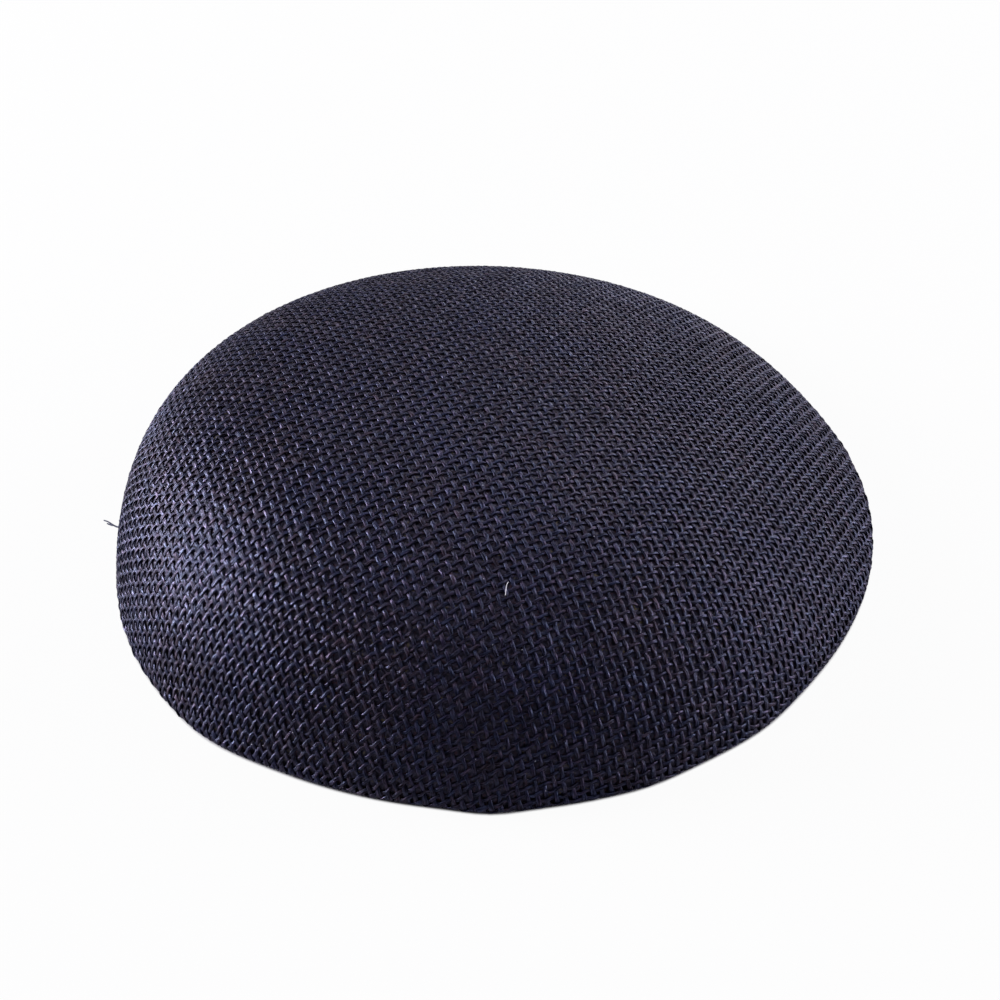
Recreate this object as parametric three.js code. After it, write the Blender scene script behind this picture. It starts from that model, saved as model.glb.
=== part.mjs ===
// A woven straw hat base for the crown of the head: one shallow blocked dome,
// open below, with its cut edge turned in as a hem round the rim.
// Millimetres, +Z up. The rim stands on z = 0 and the origin is the middle of its bounding box.

import * as THREE from "three";

// Driving sizes
const RIM_RADIUS = 80;
const CROWN_HEIGHT = 32.7;
const STRAW_THICKNESS = 1.6;
const HEM_DEPTH = 8;

// The crown's top leans to one side of its centre, as a share of the height gained at the rim.
const LEAN_SHARE = 0.23;
const LEAN_BEARING = 232;

// Sections of the dome, each cut upright from the crown's centre out to the rim.
// bearing: degrees counter-clockwise from +X, evenly spaced
// reach: the rim's distance from the centre, as a share of RIM_RADIUS
// wall: how the edge drops, from 0.4 for an upright wall to 1 for a straight slope
// fill: how far the shoulder is filled out, as a share of the height there
const SECTIONS = [
  { bearing: 0, reach: 1.08, wall: 0.79, fill: 0.06 },
  { bearing: 30, reach: 1.1, wall: 0.53, fill: -0.18 },
  { bearing: 60, reach: 1.11, wall: 0.39, fill: -0.19 },
  { bearing: 90, reach: 1.07, wall: 0.4, fill: -0.03 },
  { bearing: 120, reach: 0.985, wall: 0.38, fill: 0.1 },
  { bearing: 150, reach: 0.935, wall: 0.43, fill: 0.21 },
  { bearing: 180, reach: 0.915, wall: 0.48, fill: 0.24 },
  { bearing: 210, reach: 0.94, wall: 0.76, fill: 0.57 },
  { bearing: 240, reach: 0.935, wall: 0.87, fill: 0.6 },
  { bearing: 270, reach: 0.94, wall: 0.85, fill: 0.55 },
  { bearing: 300, reach: 0.975, wall: 0.73, fill: 0.34 },
  { bearing: 330, reach: 1.02, wall: 0.61, fill: 0.06 },
];

// Mesh steps: round the rim, from the crown's centre to the rim, and down the hem
const STEPS_ROUND = 72;
const STEPS_DOWN = 18;
const STEPS_HEM = 3;

const QUARTER_TURN = Math.PI / 2;
const STRAW_COLOUR = 0x26263a;

// The value of a table column at any bearing: a smooth closed wave through all the rows.
function blend(column, bearing) {
  return SECTIONS.reduce((sum, row) => {
    const away = bearing - THREE.MathUtils.degToRad(row.bearing);
    const spread = SECTIONS.length * Math.tan(away / 2);
    const weight = Math.abs(spread) < 1e-9 ? 1 : Math.sin((SECTIONS.length * away) / 2) / spread;
    return sum + weight * row[column];
  }, 0);
}

// A point of the dome. turn runs from 0 at the crown's centre to a quarter turn at the rim.
// layers is how many thicknesses of straw the rim is inset by; the crown is lowered by one at most.
function domePoint(bearing, turn, layers) {
  const out = Math.sin(turn);
  const lean = 1 + LEAN_SHARE * out * Math.cos(bearing - THREE.MathUtils.degToRad(LEAN_BEARING));
  const drop = Math.cos(turn) ** (2 * blend("wall", bearing));
  const shoulder = 1 + blend("fill", bearing) * out ** 2;
  const crown = CROWN_HEIGHT - Math.min(layers, 1) * STRAW_THICKNESS;
  const radius = (RIM_RADIUS * blend("reach", bearing) - layers * STRAW_THICKNESS) * out;
  return new THREE.Vector3(
    radius * Math.cos(bearing),
    radius * Math.sin(bearing),
    crown * lean * drop * shoulder,
  );
}

// The turn at which the inside of the dome stands HEM_DEPTH above the rim.
function hemTurn(bearing) {
  let above = QUARTER_TURN / 2;
  let below = QUARTER_TURN;
  for (let i = 0; i < 40; i++) {
    const middle = (above + below) / 2;
    if (domePoint(bearing, middle, 1).z > HEM_DEPTH) above = middle;
    else below = middle;
  }
  return below;
}

// One section's points after the outer pole: over the outside, up the hem, under the crown.
function sectionPoints(bearing) {
  const points = [];
  for (let i = 1; i <= STEPS_DOWN; i++)
    points.push(domePoint(bearing, (QUARTER_TURN * i) / STEPS_DOWN, 0));
  const hem = hemTurn(bearing);
  for (let i = 0; i <= STEPS_HEM; i++)
    points.push(domePoint(bearing, THREE.MathUtils.lerp(QUARTER_TURN, hem, i / STEPS_HEM), 2));
  for (let i = STEPS_DOWN; i > 0; i--)
    points.push(domePoint(bearing, (hem * i) / STEPS_DOWN, 1));
  return points;
}

// The closed wall: rings of points between an outer and an inner pole.
function domeGeometry() {
  const sections = [];
  for (let i = 0; i < STEPS_ROUND; i++)
    sections.push(sectionPoints((2 * Math.PI * i) / STEPS_ROUND));
  const perSection = sections[0].length;
  const points = [domePoint(0, 0, 0), ...sections.flat(), domePoint(0, 0, 1)];
  const innerPole = points.length - 1;
  const vertex = (section, step) => 1 + (section % STEPS_ROUND) * perSection + step;
  const index = [];
  for (let i = 0; i < STEPS_ROUND; i++) {
    index.push(0, vertex(i, 0), vertex(i + 1, 0));
    for (let j = 0; j + 1 < perSection; j++) {
      index.push(vertex(i, j), vertex(i, j + 1), vertex(i + 1, j + 1));
      index.push(vertex(i, j), vertex(i + 1, j + 1), vertex(i + 1, j));
    }
    index.push(vertex(i, perSection - 1), innerPole, vertex(i + 1, perSection - 1));
  }
  const geometry = new THREE.BufferGeometry().setFromPoints(points);
  geometry.setIndex(index);
  geometry.computeVertexNormals();
  return geometry;
}

const straw = new THREE.MeshStandardMaterial({ color: STRAW_COLOUR, roughness: 0.6, metalness: 0 });

const dome = new THREE.Mesh(domeGeometry(), straw);
dome.name = "straw_dome";

// The reaches are measured from the crown's centre, so the dome is moved to stand over the origin.
const middle = new THREE.Box3().setFromObject(dome).getCenter(new THREE.Vector3());
dome.position.set(-middle.x, -middle.y, 0);

const hat = new THREE.Group();
hat.add(dome);

export default hat;
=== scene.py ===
"""Looks of a dark navy woven straw hat base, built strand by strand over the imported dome.

The straw is a real plain weave: two families of flat strands at a fixed spacing cross over and
under each other, follow the dome, fold round the rim and end inside it as a turned-in hem.
Lengths are in millimetres until a mesh is made. The "straw" attribute of a mesh is in millimetres
too: the place of each point along and across its strand, or on the flat cloth. Bump distances and
object coordinates in the shaders are in metres.
"""
import math

import bpy
import numpy as np
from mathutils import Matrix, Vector


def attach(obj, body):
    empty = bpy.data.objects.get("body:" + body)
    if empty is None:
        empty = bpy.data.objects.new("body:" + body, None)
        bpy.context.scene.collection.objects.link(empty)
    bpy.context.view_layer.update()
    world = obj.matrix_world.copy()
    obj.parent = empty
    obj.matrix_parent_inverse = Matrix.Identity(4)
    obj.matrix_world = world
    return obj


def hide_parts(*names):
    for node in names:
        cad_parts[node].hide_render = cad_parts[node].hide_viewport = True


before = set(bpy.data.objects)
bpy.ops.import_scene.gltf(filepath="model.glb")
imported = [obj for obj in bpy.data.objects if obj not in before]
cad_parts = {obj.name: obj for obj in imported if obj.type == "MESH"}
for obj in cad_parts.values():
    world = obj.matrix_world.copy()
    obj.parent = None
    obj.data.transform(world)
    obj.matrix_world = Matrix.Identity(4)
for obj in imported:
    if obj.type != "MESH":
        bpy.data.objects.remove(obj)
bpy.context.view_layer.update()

MM = 0.001
TINY = 1e-9

# The dome, as the CAD has it
RIM_RADIUS = 80.0
CROWN_HEIGHT = 32.7
LEAN_SHARE = 0.23
LEAN_BEARING = math.radians(232)
SECTION_BEARINGS = np.radians(np.arange(12) * 30)
REACH = np.array([1.08, 1.1, 1.11, 1.07, 0.985, 0.935, 0.915, 0.94, 0.935, 0.94, 0.975, 1.02])
WALL = np.array([0.79, 0.53, 0.39, 0.4, 0.38, 0.43, 0.48, 0.76, 0.87, 0.85, 0.73, 0.61])
FILL = np.array([0.06, -0.18, -0.19, -0.03, 0.1, 0.21, 0.24, 0.57, 0.6, 0.55, 0.34, 0.06])
HEM_DEPTH = 8.0
CAD_STEPS_ROUND = 72

# Where the rim stands out a little more than the dome: bearing, size, and half width in degrees
RIM_BULGES = ((231, 0.85, 8), (274, 0.8, 5), (296, 0.3, 5), (315, 0.6, 7))

# The weave: how far apart its strands lie, where they head, the crossing that it is laid from, and
# how many strands of each way lie on either side of that
WARP_SPACING = 1.679
WEFT_SPACING = 1.493
WEFT_BEARING = math.radians(15.9)
WARP_BEARING = math.radians(15.9 - 86.84)
FIRST_CROSSING = (-0.35, 2.2)
HALF_COUNT = 74

# A strand, its wave over and under the others, and how far its floats lean across it
STRAND_WIDTH = {"weft": 0.63, "warp": 0.77}
STRAND_THICKNESS = 0.22
WAVE_HEIGHT = 0.14
CLOTH_HALF = WAVE_HEIGHT + STRAND_THICKNESS / 2
LEAN = {"weft": 0.2, "warp": 0.05}

# How much the strands vary in width, and how uneven each one is along its length
WIDTH_VARIATION = 0.06
UNEVEN_WAVE = 0.15
UNEVEN_DRIFT = 0.07
UNEVEN_WIDTH = 0.13
UNEVEN_TWIST = math.radians(9)

# A strand's rings for each crossing, and the height of its wave at each of them
RINGS = 3
WAVE = np.array([1.0, 0.72, -0.72])
# The points of a ring, as shares of half the width and half the thickness, and where they face:
# the facings make the flat section look slightly round
SECTION = np.array([[1.0, 0.0], [0.75, 1.0], [-0.75, 1.0], [-1.0, 0.0], [-0.75, -1.0], [0.75, -1.0]])
SECTION_FACING = np.array(
    [[1.0, 0.0], [0.4, 0.917], [-0.4, 0.917], [-1.0, 0.0], [-0.4, -0.917], [0.4, -0.917]]
)
# Shorter pieces of a strand are left out
FEWEST_RINGS = 5
PIECES_PER_WAY = 3

# The fold round the rim: its radius, the gap below it, and the height above the rim at which the
# dome begins to flare out towards the fold. Straw that would pass below LOWEST is pressed flat there.
FOLD_RADIUS = 0.55
REST_GAP = 0.08
FLARE_HEIGHT = 9.0
LOWEST = 0.01
# Over what length the strands are pressed flat round the fold, how much wider they spread there, and
# how much flatter their waves are
FOLD_PRESSED = 1.4
FOLD_SPREAD = 0.85
FOLD_FLATNESS = 0.4
# Where the straw was blocked hardest: how far that reaches, how much wider its strands lie and how
# much flatter their waves are
TIGHT_PLACE = np.array([-50.0, -37.0, 21.5])
TIGHT_REACH = 17.5
TIGHT_SPREAD = 0.62
TIGHT_FLATNESS = 0.5

# The inner plies that close the weave's gaps: their depth below the middle of the weave, how far
# short of the fold their last ring is laid, and how far that ring is then drawn down into it
PLY_DEPTH = 0.48
PLY_THICKNESS = 0.44
PLY_END_GAP = 0.1
PLY_REACH = 0.25
PLY_SIDES = 180
PLY_RINGS = 44

# How the crossings are found: rounds along the middle lines, then Newton's rounds, the step that
# slopes are measured over, the least determinant, and the longest step
LINE_ROUNDS = 3
NEWTON_ROUNDS = 4
NEWTON_PROBE = 0.01
LEAST_DET = 0.05
LONGEST_STEP = 0.7

SEED = 7
random = np.random.default_rng(SEED)


def blend(column, bearing):
    """The value of a table column at any bearing, as the CAD blends it."""
    away = np.asarray(bearing)[..., None] - SECTION_BEARINGS
    spread = len(column) * np.tan(away / 2)
    near = np.abs(spread) < TINY
    weight = np.where(near, 1, np.sin(len(column) * away / 2) / np.where(near, 1, spread))
    return weight @ column


def dome_section(bearing, turn):
    """Radius and height of the dome's outer face at turns from 0 at the centre to a quarter turn."""
    out = np.sin(turn)
    lean = 1 + LEAN_SHARE * out * np.cos(bearing - LEAN_BEARING)
    drop = np.cos(turn) ** (2 * blend(WALL, bearing))
    shoulder = 1 + blend(FILL, bearing) * out ** 2
    return RIM_RADIUS * blend(REACH, bearing) * out, CROWN_HEIGHT * lean * drop * shoulder


def rim_reach(bearing):
    """How far the rim stands from the crown's centre, with its small bulges."""
    degrees = np.degrees(bearing)
    bulge = sum(size * np.exp(-(((degrees - at) / spread) ** 2)) for at, size, spread in RIM_BULGES)
    return RIM_RADIUS * blend(REACH, bearing) + bulge


def shift_to_origin():
    """The move that stands the middle of the CAD rim's box over the origin, as the CAD does."""
    turns = np.radians(np.arange(CAD_STEPS_ROUND) * 360 / CAD_STEPS_ROUND)
    rim = RIM_RADIUS * blend(REACH, turns)
    rim = np.stack([rim * np.cos(turns), rim * np.sin(turns)])
    return np.array([*(-(rim.max(1) + rim.min(1)) / 2), 0])


def polar(flat):
    """Distance from the crown's centre, and bearing, of flat positions (..., 2)."""
    length = np.hypot(flat[..., 0], flat[..., 1])
    bearing = np.arctan2(flat[..., 1], flat[..., 0]) % (2 * math.pi)
    return length, bearing


class Cloth:
    """The middle of the cloth by flat polar position: distance from the crown's centre, and bearing.

    folded holds the real path, round the rim and up inside. open holds a path that drops straight
    down from the rim instead, on which the strands are laid before they are folded. fold and edge
    hold the lengths at which the fold begins and the hem ends.
    """

    BEARINGS = 361
    LENGTHS = 901
    LONGEST = 180.0
    SECTION_POINTS = 3001
    FLARE_ROUNDS = 4
    FACE_PROBE = 0.05

    def __init__(self):
        self.bearings = np.linspace(0, 2 * math.pi, self.BEARINGS)
        self.lengths = np.linspace(0, self.LONGEST, self.LENGTHS)
        self.folded = np.zeros((2, self.BEARINGS, self.LENGTHS))
        self.open = np.zeros((2, self.BEARINGS, self.LENGTHS))
        self.fold = np.zeros(self.BEARINGS)
        self.edge = np.zeros(self.BEARINGS)
        # The points lie closer together towards the rim, where the dome is steepest.
        turn = math.pi / 2 * (1 - (1 - np.linspace(0, 1, self.SECTION_POINTS)) ** 2)
        for row, bearing in enumerate(self.bearings):
            self.add_row(row, *dome_section(bearing, turn), rim_reach(bearing))

    def add_row(self, row, radius, height, reach):
        """Lays one bearing, flared near the rim so that its fold reaches as far out as the rim."""
        flare = np.clip(1 - height / FLARE_HEIGHT, 0, 1) ** 2
        for _ in range(self.FLARE_ROUNDS):
            self.lay_row(row, radius, height)
            radius = radius + (reach - self.folded[0, row].max() - CLOTH_HALF) * flare

    def lay_row(self, row, radius, height):
        """Fills one bearing: its two paths, and the lengths at which the fold begins and the hem ends."""
        along = np.stack([np.gradient(radius), np.gradient(height)])
        along /= np.linalg.norm(along, axis=0)
        inward = np.stack([along[1], -along[0]])
        middle = np.stack([radius, height]) + CLOTH_HALF * inward
        travelled = np.r_[0, np.cumsum(np.hypot(*np.diff(middle, axis=1)))]
        start = np.argmax((middle + FOLD_RADIUS * inward)[1] < FOLD_RADIUS + CLOTH_HALF + REST_GAP)
        fold_at = travelled[start]
        fold_end = fold_at + math.pi * FOLD_RADIUS

        def at(values, where):
            return np.stack([np.interp(where, travelled, v) for v in values])

        lengths = self.lengths
        swing = np.clip((lengths - fold_at) / FOLD_RADIUS, 0, math.pi)
        back = np.maximum(fold_at - np.maximum(lengths - fold_end, 0), 0)
        where = np.where(lengths < fold_at, lengths, back)
        self.folded[:, row] = (
            at(middle, where)
            + FOLD_RADIUS * (1 - np.cos(swing)) * at(inward, where)
            + FOLD_RADIUS * np.sin(swing) * at(along, where)
        )
        past = np.maximum(lengths - fold_at, 0)
        self.open[:, row] = at(middle, np.minimum(lengths, fold_at)) - np.stack([0 * past, past])
        self.fold[row] = fold_at
        self.edge[row] = fold_end + HEM_DEPTH

    def point(self, flat, paths):
        """The place of flat positions (..., 2) on one of the two sets of paths."""
        length, bearing = polar(flat)
        row = bearing / (2 * math.pi) * (self.BEARINGS - 1)
        # The clip keeps a column after the one that a place falls in.
        column = np.clip(length / self.LONGEST * (self.LENGTHS - 1), 0, self.LENGTHS - 1.001)
        i = np.minimum(row.astype(int), self.BEARINGS - 2)
        j = column.astype(int)
        a, b = row - i, column - j
        radius, height = (
            paths[:, i, j] * (1 - a) * (1 - b)
            + paths[:, i + 1, j] * a * (1 - b)
            + paths[:, i, j + 1] * (1 - a) * b
            + paths[:, i + 1, j + 1] * a * b
        )
        return np.stack([radius * np.cos(bearing), radius * np.sin(bearing), height], -1)

    def point_and_face(self, flat):
        """The place of flat positions on the real path, and the outward direction of the cloth there."""
        u, v = (self.FACE_PROBE, 0), (0, self.FACE_PROBE)
        across_u = self.point(flat + u, self.folded) - self.point(flat - u, self.folded)
        across_v = self.point(flat + v, self.folded) - self.point(flat - v, self.folded)
        face = np.cross(across_u, across_v)
        return self.point(flat, self.folded), face / np.linalg.norm(face, axis=-1, keepdims=True)

    def pressed(self, flat):
        """How near flat positions are to the bottom of the fold, from 0 to 1."""
        length, bearing = polar(flat)
        bottom = np.interp(bearing, self.bearings, self.fold) + FOLD_RADIUS * math.pi / 2
        return np.exp(-(((length - bottom) / FOLD_PRESSED) ** 2))

    def inside(self, flat):
        """Whether flat positions are on the cloth, before the hem's cut end."""
        length, bearing = polar(flat)
        return length < np.interp(bearing, self.bearings, self.edge)


def one_spacing_from(place, before_i, before_j, corner):
    """Flat positions one spacing from both of their neighbours that are laid, by Newton's rounds."""
    guess = before_i + before_j - corner
    from_i, from_j = place(before_i), place(before_j)
    for _ in range(NEWTON_ROUNDS):
        here = place(guess)
        slope_u = (place(guess + (NEWTON_PROBE, 0)) - here) / NEWTON_PROBE
        slope_v = (place(guess + (0, NEWTON_PROBE)) - here) / NEWTON_PROBE
        to_i, to_j = here - from_i, here - from_j
        length_i = np.linalg.norm(to_i, axis=-1)
        length_j = np.linalg.norm(to_j, axis=-1)
        iu = (to_i * slope_u).sum(-1) / length_i
        iv = (to_i * slope_v).sum(-1) / length_i
        ju = (to_j * slope_u).sum(-1) / length_j
        jv = (to_j * slope_v).sum(-1) / length_j
        over_i, over_j = length_i - WARP_SPACING, length_j - WEFT_SPACING
        det = iu * jv - iv * ju
        det = np.where(np.abs(det) < LEAST_DET, LEAST_DET * np.where(det < 0, -1, 1), det)
        step = np.stack([over_i * jv - over_j * iv, over_j * iu - over_i * ju], -1) / det[:, None]
        size = np.linalg.norm(step, axis=-1, keepdims=True)
        guess = guess - step * np.minimum(1, LONGEST_STEP / np.maximum(size, TINY))
    return guess


def lay_crossings(cloth):
    """Flat positions of all crossings [warp, weft]: each is one spacing from both its neighbours."""
    flat = np.zeros((2 * HALF_COUNT + 1, 2 * HALF_COUNT + 1, 2))
    c = HALF_COUNT
    flat[c, c] = FIRST_CROSSING

    def place(p):
        return cloth.point(p, cloth.open)

    # The middle line of each way, out from the first crossing
    ways = ((WEFT_BEARING, WARP_SPACING, (1, 0)), (WARP_BEARING, WEFT_SPACING, (0, 1)))
    for bearing, spacing, (di, dj) in ways:
        heading = np.array([math.cos(bearing), math.sin(bearing)])
        for side in (1, -1):
            for k in range(1, HALF_COUNT + 1):
                last = flat[c + side * (k - 1) * di, c + side * (k - 1) * dj]
                guess = last + side * spacing * heading
                for _ in range(LINE_ROUNDS):
                    reached = np.linalg.norm(place(guess) - place(last))
                    guess = last + (guess - last) * spacing / reached
                flat[c + side * k * di, c + side * k * dj] = guess

    # The four quarters between those lines, one diagonal of crossings at a time
    for side_i in (1, -1):
        for side_j in (1, -1):
            for k in range(2, 2 * HALF_COUNT + 1):
                i = np.arange(max(1, k - HALF_COUNT), min(HALF_COUNT, k - 1) + 1)
                j = k - i
                before_i = flat[c + side_i * (i - 1), c + side_j * j]
                before_j = flat[c + side_i * i, c + side_j * (j - 1)]
                corner = flat[c + side_i * (i - 1), c + side_j * (j - 1)]
                flat[c + side_i * i, c + side_j * j] = one_spacing_from(place, before_i, before_j, corner)
    return flat


def strand_rings(cloth, crossings, parity, width, lean):
    """One strand's rings: their points, places in the straw and facings, and which are on the cloth."""
    count = (len(crossings) - 1) * RINGS
    at = np.arange(count) / RINGS
    knots = np.arange(len(crossings))
    flat = np.stack([np.interp(at, knots, crossings[:, k]) for k in (0, 1)], -1)
    middle, face = cloth.point_and_face(flat)
    cell = np.arange(count) // RINGS
    ring = np.arange(count) % RINGS
    sign = np.where((cell + parity) % 2 == 0, 1, -1)

    def uneven(size):
        return size * np.interp(at, knots, random.standard_normal(len(crossings)))

    pressed = cloth.pressed(flat)
    free = 1 - pressed
    tight = np.exp(-((np.linalg.norm(middle - TIGHT_PLACE, axis=-1) / TIGHT_REACH) ** 2))
    wave = WAVE_HEIGHT * sign * WAVE[ring] * (1 + uneven(UNEVEN_WAVE))
    wave = wave * (1 - FOLD_FLATNESS * pressed) * (1 - TIGHT_FLATNESS * tight)
    centre = middle + wave[:, None] * face
    along = np.gradient(centre, axis=0)
    along /= np.linalg.norm(along, axis=-1, keepdims=True)
    side = np.cross(face, along)
    side /= np.linalg.norm(side, axis=-1, keepdims=True)
    up = np.cross(along, side)
    drift = (uneven(UNEVEN_DRIFT) + lean * sign * (ring > 0)) * free
    centre = centre + drift[:, None] * side
    half = width / 2 * (1 + uneven(UNEVEN_WIDTH) * free)
    half = half * (1 + FOLD_SPREAD * pressed) * (1 + TIGHT_SPREAD * tight)
    twist = (uneven(UNEVEN_TWIST) * free)[:, None]
    side, up = side * np.cos(twist) + up * np.sin(twist), up * np.cos(twist) - side * np.sin(twist)
    points = (
        centre[:, None]
        + SECTION[None, :, :1] * half[:, None, None] * side[:, None]
        + SECTION[None, :, 1:] * STRAND_THICKNESS / 2 * up[:, None]
    )
    points[..., 2] = np.maximum(points[..., 2], LOWEST)
    facing = SECTION_FACING[None, :, :1] * side[:, None] + SECTION_FACING[None, :, 1:] * up[:, None]
    travelled = np.r_[0, np.cumsum(np.linalg.norm(np.diff(middle, axis=0), axis=-1))]
    place = np.zeros(points.shape)
    place[..., 0] = travelled[:, None]
    place[..., 1] = SECTION[:, 0] * half[:, None]
    # A number of its own sets each strand's pattern apart from the others'.
    place[..., 2] = random.uniform(0, 1000)
    return points, place, facing, cloth.inside(flat)


def runs_of(mask):
    """Start and end of each stretch of true values."""
    edges = np.flatnonzero(np.diff(np.r_[0, mask.astype(int), 0]))
    return list(zip(edges[::2], edges[1::2]))


def strands_of_way(way, cloth, crossings, shift):
    """All strands of one way, each cut where the cloth ends."""
    strands = []
    for number in range(2 * HALF_COUNT + 1):
        line = crossings[:, number] if way == "weft" else crossings[number]
        parity = number + (way == "warp")
        width = STRAND_WIDTH[way] * (1 + WIDTH_VARIATION * random.standard_normal())
        points, place, facing, on_cloth = strand_rings(cloth, line, parity, width, LEAN[way])
        for start, end in runs_of(on_cloth):
            if end - start >= FEWEST_RINGS:
                strands.append((points[start:end] + shift, place[start:end], facing[start:end]))
    return strands


def even_groups(strands):
    """The strands in groups of neighbours, with about as many rings in each."""
    share = sum(len(strand[0]) for strand in strands) / PIECES_PER_WAY
    groups, held = [[]], 0
    for strand in strands:
        if held >= share * len(groups) and len(groups) < PIECES_PER_WAY:
            groups.append([])
        groups[-1].append(strand)
        held += len(strand[0])
    return groups


def ring_quads(rings, sides):
    """Quads between closed rings of points."""
    ring = np.arange(rings - 1)[:, None] * sides
    here = np.arange(sides)[None]
    nxt = (here + 1) % sides
    quads = np.stack([ring + here, ring + nxt, ring + sides + nxt, ring + sides + here], -1)
    return quads.reshape(-1, 4)


def turned_over(quads):
    """The same quads, facing the other way."""
    return quads[:, [0, 3, 2, 1]]


def add_mesh(name, points, places, quads, caps, material, facings=None):
    """One mesh from points, their places in the straw and where they face, smooth quads and flat caps."""
    mesh = bpy.data.meshes.new(name)
    mesh.vertices.add(len(points))
    mesh.vertices.foreach_set("co", (points * MM).astype(np.float32).ravel())
    corners = np.r_[quads.ravel(), caps.ravel()]
    starts = np.r_[np.arange(len(quads)) * 4, quads.size + np.arange(len(caps)) * caps.shape[1]]
    mesh.loops.add(len(corners))
    mesh.loops.foreach_set("vertex_index", corners.astype(np.int32))
    mesh.polygons.add(len(starts))
    mesh.polygons.foreach_set("loop_start", starts.astype(np.int32))
    mesh.polygons.foreach_set("use_smooth", np.arange(len(starts)) < len(quads))
    mesh.update(calc_edges=True)
    mesh.attributes.new("straw", "FLOAT_VECTOR", "POINT").data.foreach_set(
        "vector", places.astype(np.float32).ravel()
    )
    if facings is not None:
        mesh.normals_split_custom_set_from_vertices(facings.astype(np.float32))
    mesh.materials.append(material)
    piece = bpy.data.objects.new(name, mesh)
    bpy.context.scene.collection.objects.link(piece)
    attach(piece, "root")
    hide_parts("straw_dome")


def add_strands(name, strands, material):
    """One piece of many strands, each a closed tube."""
    points, places, facings, quads, caps = [], [], [], [], []
    offset = 0
    for ring_points, ring_places, ring_facings in strands:
        rings, sides = ring_points.shape[:2]
        points.append(ring_points.reshape(-1, 3))
        places.append(ring_places.reshape(-1, 3))
        facings.append(ring_facings.reshape(-1, 3))
        quads.append(ring_quads(rings, sides) + offset)
        caps.append(offset + np.arange(sides)[::-1])
        caps.append(offset + (rings - 1) * sides + np.arange(sides))
        offset += rings * sides
    joined = [np.concatenate(part) for part in (points, places, quads)]
    add_mesh(name, *joined, np.array(caps), material, np.concatenate(facings))


def add_ply(name, cloth, shift, material):
    """The inner ply: a thin closed shell from the crown's centre down into the fold of the hem."""
    bearings = np.arange(PLY_SIDES) * 2 * math.pi / PLY_SIDES
    ends = np.interp(bearings, cloth.bearings, cloth.fold)
    # The first ring lies half a step from the centre.
    share = (np.arange(PLY_RINGS) + 0.5) / (PLY_RINGS - 0.5)
    lengths = share[:, None] * (ends - PLY_END_GAP)
    flat = np.stack([lengths * np.cos(bearings), lengths * np.sin(bearings)], -1)
    middle, face = cloth.point_and_face(flat)
    middle[-1, :, 2] -= PLY_REACH
    outer = middle - (PLY_DEPTH - PLY_THICKNESS / 2) * face
    inner = middle - (PLY_DEPTH + PLY_THICKNESS / 2) * face
    rings = np.concatenate([outer, inner[::-1]]) + shift
    places = np.concatenate([flat, flat[::-1]])
    places = np.concatenate([places, np.zeros(places.shape[:-1] + (1,))], -1)
    quads = turned_over(ring_quads(2 * PLY_RINGS, PLY_SIDES))
    here = np.arange(PLY_SIDES)
    caps = np.array([here, (2 * PLY_RINGS - 1) * PLY_SIDES + here[::-1]])
    add_mesh(name, rings.reshape(-1, 3), places.reshape(-1, 3), quads, caps, material)


# Loose strands: points for each stretch of the route, rounds of smoothing, sides, and how much
# thinner the tip is
LOOSE_STEPS = 6
LOOSE_ROUNDS = 4
LOOSE_SIDES = 6
LOOSE_TAPER = 0.35


def loose_strand(route, radius):
    """Rings round a smooth path through a few points, thinning to its tip, for add_strands."""
    route = np.array(route)
    knots = np.arange(len(route))
    at = np.linspace(0, len(route) - 1, LOOSE_STEPS * (len(route) - 1) + 1)
    path = np.stack([np.interp(at, knots, route[:, k]) for k in range(3)], -1)
    for _ in range(LOOSE_ROUNDS):
        path[1:-1] = (path[:-2] + 2 * path[1:-1] + path[2:]) / 4
    along = np.gradient(path, axis=0)
    along /= np.linalg.norm(along, axis=-1, keepdims=True)
    side = np.cross(along, (0, 0, 1.0))
    side /= np.linalg.norm(side, axis=-1, keepdims=True)
    up = np.cross(along, side)
    turn = np.arange(LOOSE_SIDES) * math.pi / (LOOSE_SIDES / 2)
    facing = np.cos(turn)[None, :, None] * side[:, None] + np.sin(turn)[None, :, None] * up[:, None]
    taper = radius * (1 - LOOSE_TAPER * (at / at[-1]) ** 2)
    travelled = np.r_[0, np.cumsum(np.linalg.norm(np.diff(path, axis=0), axis=-1))]
    place = np.zeros(facing.shape)
    place[..., 0] = travelled[:, None]
    place[..., 1] = np.cos(turn) * radius
    return path[:, None] + facing * taper[:, None, None], place, facing


def node(tree, kind, inputs=None, **settings):
    """A new shader node with its settings and its inputs, each a value or another node's socket."""
    made = tree.nodes.new("ShaderNode" + kind)
    for key, value in settings.items():
        setattr(made, key, value)
    for key, value in (inputs or {}).items():
        if isinstance(value, bpy.types.NodeSocket):
            tree.links.new(value, made.inputs[key])
        else:
            made.inputs[key].default_value = value
    return made


def new_material(name):
    """A new material, and its empty tree of nodes."""
    material = bpy.data.materials.new(name)
    material.use_nodes = True
    material.node_tree.nodes.clear()
    return material, material.node_tree


def attribute(tree, name, output):
    """What a mesh attribute holds."""
    return node(tree, "Attribute", attribute_name=name).outputs[output]


def mapped(tree, place, **changes):
    """A place scaled, turned or moved."""
    inputs = {key.title(): value for key, value in changes.items()}
    return node(tree, "Mapping", {"Vector": place, **inputs}).outputs[0]


def noise(tree, place, detail, scale=1.0):
    """A noise pattern."""
    return node(tree, "TexNoise", {"Vector": place, "Scale": scale, "Detail": detail}).outputs["Fac"]


def mix(tree, share, first, second):
    """A mix of two patterns."""
    return node(tree, "Mix", {0: share, 2: first, 3: second}).outputs[0]


def maths(tree, operation, first, second):
    """One operation on two values."""
    return node(tree, "Math", {0: first, 1: second}, operation=operation).outputs[0]


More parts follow.
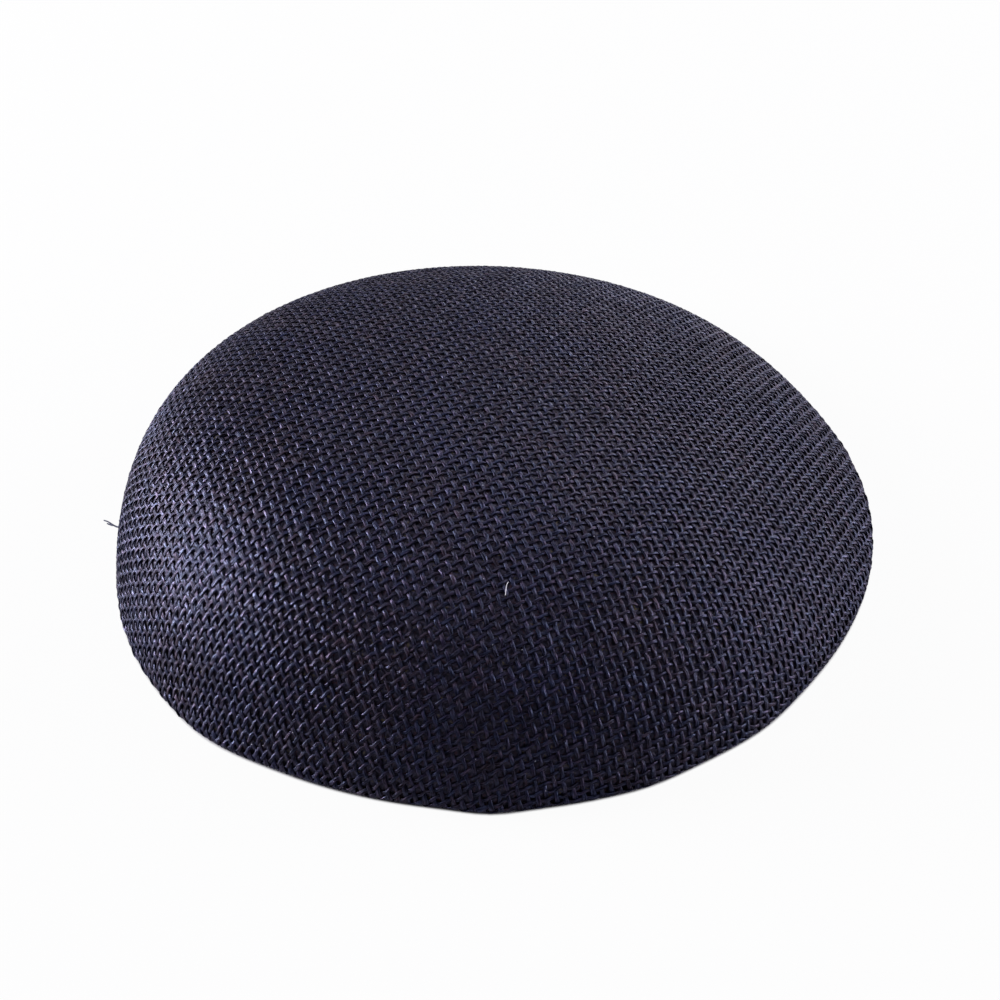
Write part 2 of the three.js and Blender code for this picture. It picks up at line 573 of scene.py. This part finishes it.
def remap(tree, value, before, after):
    """A value taken from one range to another, each a pair of ends."""
    ends = dict(zip(("From Min", "From Max", "To Min", "To Max"), (*before, *after)))
    return node(tree, "MapRange", {"Value": value, **ends}).outputs[0]


def scaled(tree, colour, factor):
    """A colour made lighter or darker by a factor."""
    return node(tree, "VectorMath", {0: colour, "Scale": factor}, operation="SCALE").outputs[0]


def ramp(tree, factor, stops):
    """A colour ramp through (position, colour) stops."""
    made = node(tree, "ValToRGB", {"Fac": factor})
    elements = made.color_ramp.elements
    while len(elements) < len(stops):
        elements.new(0.5)
    for element, (position, colour) in zip(elements, stops):
        element.position = position
        element.color = (*colour, 1)
    return made.outputs["Color"]


def bumped(tree, height, distance, strength=1.0):
    """The normal of a surface with a raised pattern."""
    return node(tree, "Bump", {"Strength": strength, "Distance": distance, "Height": height}).outputs[0]


def finish_material(tree, inputs):
    """Gives a material its one shader."""
    shader = node(tree, "BsdfPrincipled", inputs)
    node(tree, "OutputMaterial", {"Surface": shader.outputs[0]})


# The straw's dyes, from brown to navy, and the tints of its sheen, by the value of a noise pattern
STRAW_DYES = (
    (0.34, (0.022, 0.013, 0.016)),
    (0.45, (0.008, 0.006, 0.011)),
    (0.55, (0.004, 0.004, 0.014)),
    (0.66, (0.009, 0.011, 0.030)),
)
STRAW_TINTS = ((0.36, (0.72, 0.55, 0.94)), (0.5, (0.55, 0.57, 1.0)), (0.64, (0.46, 0.58, 1.0)))
# Scales of the straw's patterns along a strand, across it and from strand to strand
FIBRE_SCALE = (0.75, 3.7, 1.0)
FLOAT_SCALE = (0.45, 0.0, 1.0)
TONE_SCALE = (0.6, 1.3, 1.0)
TONE_MOVE = (9, 4, 0)
GLINT_SCALE = (1.0, 1.0, 31.0)
# Patches of another shade, across the strands
PATCH_SCALE = 55.0
PATCH_SHARE = 0.4
# How high the fibres stand, and the fibres' share in the gloss
FIBRE_HEIGHT = 0.00018
GLOSS_SHARE = 0.7
# What a range of the fibres' noise makes of the dye's strength and of the sheen, and what a range of
# the gloss makes of the roughness
STREAKS = ((0.3, 0.7), (0.3, 1.9))
SHEEN = ((0.35, 0.66), (0.06, 0.94))
ROUGHNESS = ((0.35, 0.65), (0.66, 0.27))
# The glints, highlights painted into the straw's colour as pale specks: how dense their spots are,
# how large, the share of them that shines, and their colour
GLINT_DENSITY = 1.4
GLINT_RADIUS = 0.13
GLINT_SHARE = 0.03
PAINTED_GLINT_COLOUR = (0.4, 0.4, 0.46, 1)


def straw_material():
    """Dyed straw: dark navy with brownish stretches, fine lengthwise fibres, a soft gloss, and a few
    painted highlights as glints.
    """
    material, tree = new_material("woven_straw")
    place = attribute(tree, "straw", "Vector")
    position = node(tree, "TexCoord").outputs["Object"]
    fibres = noise(tree, mapped(tree, place, scale=FIBRE_SCALE), detail=3.0)
    floats = noise(tree, mapped(tree, place, scale=FLOAT_SCALE), detail=1.0)
    patches = noise(tree, position, detail=3.0, scale=PATCH_SCALE)
    dye = ramp(tree, mix(tree, PATCH_SHARE, floats, patches), STRAW_DYES)
    dyed = scaled(tree, dye, remap(tree, fibres, *STREAKS))
    glint_inputs = {
        "Vector": mapped(tree, place, scale=GLINT_SCALE),
        "Scale": GLINT_DENSITY,
        "Randomness": 1.0,
    }
    spots = node(tree, "TexVoronoi", glint_inputs, feature="F1")
    near = maths(tree, "LESS_THAN", spots.outputs["Distance"], GLINT_RADIUS)
    pick = node(tree, "SeparateColor", {"Color": spots.outputs["Color"]}).outputs["Red"]
    chosen = maths(tree, "LESS_THAN", pick, GLINT_SHARE)
    painted_glint = maths(tree, "MULTIPLY", near, chosen)
    # Painted highlights: on a few chosen spots the dye gives way to a pale colour, as glints.
    colour = node(tree, "Mix", {0: painted_glint, 6: dyed, 7: PAINTED_GLINT_COLOUR}, data_type="RGBA").outputs[2]
    gloss = mix(tree, GLOSS_SHARE, floats, fibres)
    tones = noise(tree, mapped(tree, place, scale=TONE_SCALE, location=TONE_MOVE), detail=2.0)
    finish_material(
        tree,
        {
            "Base Color": colour,
            "Roughness": remap(tree, gloss, *ROUGHNESS),
            "Normal": bumped(tree, fibres, FIBRE_HEIGHT),
            "IOR": 1.5,
            "Specular IOR Level": remap(tree, fibres, *SHEEN),
            "Specular Tint": ramp(tree, tones, STRAW_TINTS),
        },
    )
    return material


# The inner plies' weave, turned against the outer one; their specks and patches; what a range of the
# weave makes of the dye's strength, darker in its gaps as painted shade, and what a range of the patches
# makes of it; and the dyes
PLY_TURN = math.radians(24)
PLY_WEAVE_SCALE = 0.2
PLY_HEIGHT = 0.0002
PLY_SPECK_SCALE = 1.6
PLY_PATCH_SCALE = 0.55
PLY_SPECK_SHARE = 0.6
PLY_GAP_SHADE = ((0.35, 0.85), (0.15, 1.0))
PLY_CLOUDS = ((0.38, 0.66), (0.5, 2.0))
PLY_DYES = (
    (0.36, (0.055, 0.013, 0.011)),
    (0.46, (0.013, 0.010, 0.017)),
    (0.54, (0.009, 0.011, 0.026)),
    (0.64, (0.050, 0.040, 0.014)),
)
PLY_TINT = (0.72, 0.66, 1.0, 1)


def ply_material():
    """The inner plies: the same weave turned against the outer one, in dark brown, olive and navy, with
    shade painted in its gaps.
    """
    material, tree = new_material("inner_ply")
    place = attribute(tree, "straw", "Vector")
    bands = {
        "Vector": mapped(tree, place, rotation=(0, 0, PLY_TURN)),
        "Scale": PLY_WEAVE_SCALE,
        "Distortion": 1.2,
        "Detail": 2.0,
        "Detail Scale": 1.5,
    }
    rows = node(tree, "TexWave", bands, bands_direction="X").outputs["Fac"]
    columns = node(tree, "TexWave", bands, bands_direction="Y").outputs["Fac"]
    weave = maths(tree, "MAXIMUM", rows, columns)
    specks = noise(tree, place, detail=4.0, scale=PLY_SPECK_SCALE)
    patches = noise(tree, place, detail=2.0, scale=PLY_PATCH_SCALE)
    dye = ramp(tree, mix(tree, PLY_SPECK_SHARE, patches, specks), PLY_DYES)
    # Painted shade: the dye is darkened in the gaps between the painted weave's bands, and made lighter or
    # darker in patches.
    strength = maths(
        tree, "MULTIPLY", remap(tree, weave, *PLY_GAP_SHADE), remap(tree, patches, *PLY_CLOUDS)
    )
    finish_material(
        tree,
        {
            "Base Color": scaled(tree, dye, strength),
            "Roughness": 0.42,
            "Normal": bumped(tree, weave, PLY_HEIGHT, strength=0.8),
            "Specular IOR Level": 0.5,
            "Specular Tint": PLY_TINT,
        },
    )
    return material


# A loose strand's fibres: their scale along it and across it, and their height
LOOSE_FIBRE_SCALE = (1.2, 12.0, 1.0)
LOOSE_FIBRE_HEIGHT = 0.00003


def fibre_material(name, dark, light):
    """A loose strand's finish: streaks between two colours along it, and a soft gloss."""
    material, tree = new_material(name)
    place = attribute(tree, "straw", "Vector")
    streaks = noise(tree, mapped(tree, place, scale=LOOSE_FIBRE_SCALE), detail=3.0)
    finish_material(
        tree,
        {
            "Base Color": ramp(tree, streaks, [(0.35, dark), (0.65, light)]),
            "Roughness": 0.45,
            "Normal": bumped(tree, streaks, LOOSE_FIBRE_HEIGHT, strength=0.5),
        },
    )
    return material


# The floor's rings follow the rim. For each: how far outside the rim it lies, and whether the floor
# is lifted to near white for the camera there.
FLOOR_RINGS = ((-2.5, 0.0), (-0.4, 0.0), (0.1, 1.0), (3000.0, 1.0))
FLOOR_SIDES = 180
FLOOR_LIFT = 0.95
FLOOR_COLOUR = (0.6, 0.6, 0.6, 1)


def floor_material():
    """Grey to the light, near white to the camera where the floor is lifted, clear from below."""
    material, tree = new_material("floor")
    diffuse = node(tree, "BsdfDiffuse", {"Color": FLOOR_COLOUR}).outputs[0]
    glow = node(tree, "Emission", {"Strength": 1.0}).outputs[0]
    seen = node(tree, "LightPath").outputs["Is Camera Ray"]
    lift = maths(tree, "MULTIPLY", attribute(tree, "lift", "Fac"), FLOOR_LIFT)
    lift_seen = maths(tree, "MULTIPLY", seen, lift)
    top_side = node(tree, "MixShader", {0: lift_seen, 1: diffuse, 2: glow}).outputs[0]
    clear = node(tree, "BsdfTransparent").outputs[0]
    below = node(tree, "NewGeometry").outputs["Backfacing"]
    surface = node(tree, "MixShader", {0: below, 1: top_side, 2: clear}).outputs[0]
    node(tree, "OutputMaterial", {"Surface": surface})
    return material


def add_floor(shift):
    """The floor, with an opening under the hat that only the view from below shows."""
    turns = np.arange(FLOOR_SIDES) * 2 * math.pi / FLOOR_SIDES
    outline = rim_reach(turns)
    rings = [
        np.stack([(outline + gap) * np.cos(turns), (outline + gap) * np.sin(turns), 0 * turns], -1) + shift
        for gap, _ in FLOOR_RINGS
    ]
    quads = turned_over(ring_quads(len(FLOOR_RINGS), FLOOR_SIDES))
    mesh = bpy.data.meshes.new("floor")
    mesh.from_pydata((np.concatenate(rings) * MM).tolist(), [], quads.tolist())
    lifts = np.repeat([lift for _, lift in FLOOR_RINGS], FLOOR_SIDES).astype(np.float32)
    mesh.attributes.new("lift", "FLOAT", "POINT").data.foreach_set("value", lifts)
    mesh.materials.append(floor_material())
    floor = bpy.data.objects.new("floor", mesh)
    bpy.context.scene.collection.objects.link(floor)


# The camera: the photograph's angle and lens
CAMERA_DISTANCE = 339.9
CAMERA_ELEVATION = math.radians(42.47)
CAMERA_SENSOR = 36.0
CAMERA_LENS = 56.24
CAMERA_CLIP = (0.01, 20)
LOOK_AT = (0.27, 1.71, 0.0)


def add_camera():
    """The camera, in front of the hat and above it."""
    data = bpy.data.cameras.new("camera")
    data.sensor_width = CAMERA_SENSOR
    data.lens = CAMERA_LENS
    data.clip_start, data.clip_end = CAMERA_CLIP
    camera = bpy.data.objects.new("camera", data)
    back = Vector((0, -math.cos(CAMERA_ELEVATION), math.sin(CAMERA_ELEVATION)))
    camera.location = (Vector(LOOK_AT) + back * CAMERA_DISTANCE) * MM
    camera.rotation_euler = (-back).to_track_quat("-Z", "Y").to_euler()
    bpy.context.scene.collection.objects.link(camera)
    bpy.context.scene.camera = camera


# The lights, in metres: a name, bearing and elevation in degrees, and power in watts. The one below
# shines up through the floor's opening, so that the inside can be seen from below.
LIGHT_SIZE = 0.5
LIGHT_DISTANCE = 1.2
LIGHT_COLOUR = (0.93, 0.91, 1.0)
LIGHTS = (
    ("left", 168, 17, 30),
    ("right_back", 28, 24, 7.7),
    ("far_edge", 66, 6, 3.4),
    ("right", 0, 10, 8.8),
    ("back", 85, 42, 2.6),
    ("above", 250, 75, 1.6),
    ("below", 0, -90, 8),
)
SKY_STRENGTH = 0.16


def add_light(name, bearing, elevation, power):
    """A soft square light in a direction given in degrees, aimed at the hat."""
    data = bpy.data.lights.new(name, "AREA")
    data.size = LIGHT_SIZE
    data.energy = power
    data.color = LIGHT_COLOUR
    light = bpy.data.objects.new(name, data)
    bearing, elevation = math.radians(bearing), math.radians(elevation)
    flat = math.cos(elevation)
    place = Vector((flat * math.cos(bearing), flat * math.sin(bearing), math.sin(elevation)))
    light.location = place * LIGHT_DISTANCE
    light.rotation_euler = (-place).to_track_quat("-Z", "Y").to_euler()
    light.visible_camera = False
    bpy.context.scene.collection.objects.link(light)


def add_world():
    """A white surround to the camera, and a dim cool light from all sides."""
    world = bpy.data.worlds.new("studio")
    world.use_nodes = True
    sky = world.node_tree
    sky.nodes.clear()
    soft = node(sky, "Background", {"Color": (*LIGHT_COLOUR, 1), "Strength": SKY_STRENGTH}).outputs[0]
    plain = node(sky, "Background", {"Color": (1, 1, 1, 1), "Strength": 1.0}).outputs[0]
    direct = node(sky, "LightPath").outputs["Is Camera Ray"]
    shown = node(sky, "MixShader", {0: direct, 1: soft, 2: plain}).outputs[0]
    node(sky, "OutputWorld", {"Surface": shown})
    bpy.context.scene.world = world


# The weave, over its inner plies
cloth = Cloth()
shift = shift_to_origin()
crossings = lay_crossings(cloth)
straw = straw_material()
for way in ("weft", "warp"):
    for letter, group in zip("abc", even_groups(strands_of_way(way, cloth, crossings, shift))):
        add_strands(f"straw_{way}_{letter}", group, straw)
add_ply("straw_inner_ply", cloth, shift, ply_material())

# The frayed thread that stands out at the left edge: its two strands, across and up in the picture
# from its root
THREAD_ROOT = np.array([-78.68, -14.32, 7.13])
THREAD_RADIUS = 0.2
THREAD_COLOURS = ((0.12, 0.13, 0.21), (0.28, 0.3, 0.42))
PICTURE_UP = np.array([0, 0.675, 0.738])
THREAD_ROUTES = (
    [(0.7, -0.1), (0, 0), (-0.33, 0), (-0.93, 0.27), (-1.59, 0.72), (-2.24, 1.12), (-3.04, 1.37)],
    [(-1.2, 0.3), (-1.45, 0.39), (-1.9, 0.52), (-2.38, 0.7)],
)
thread = []
for route in THREAD_ROUTES:
    points = [THREAD_ROOT + (across, 0, 0) + rise * PICTURE_UP for across, rise in route]
    thread.append(loose_strand(points, THREAD_RADIUS))
add_strands("frayed_thread", thread, fibre_material("frayed_thread", *THREAD_COLOURS))

# The pale fibre caught on the front
PALE_RADIUS = 0.075
PALE_COLOURS = ((0.5, 0.5, 0.53), (0.78, 0.78, 0.8))
PALE_ROUTE = [
    (1.26, -54.2, 28.1),
    (1.28, -53.9, 28.35),
    (1.42, -52.7, 28.9),
    (1.6, -52.1, 29.05),
    (1.8, -51.75, 28.95),
]
pale = [loose_strand(PALE_ROUTE, PALE_RADIUS)]
add_strands("pale_fibre", pale, fibre_material("pale_fibre", *PALE_COLOURS))

# The stage
add_camera()
add_floor(shift)
for light in LIGHTS:
    add_light(*light)
add_world()
bpy.context.scene.view_settings.view_transform = "Standard"
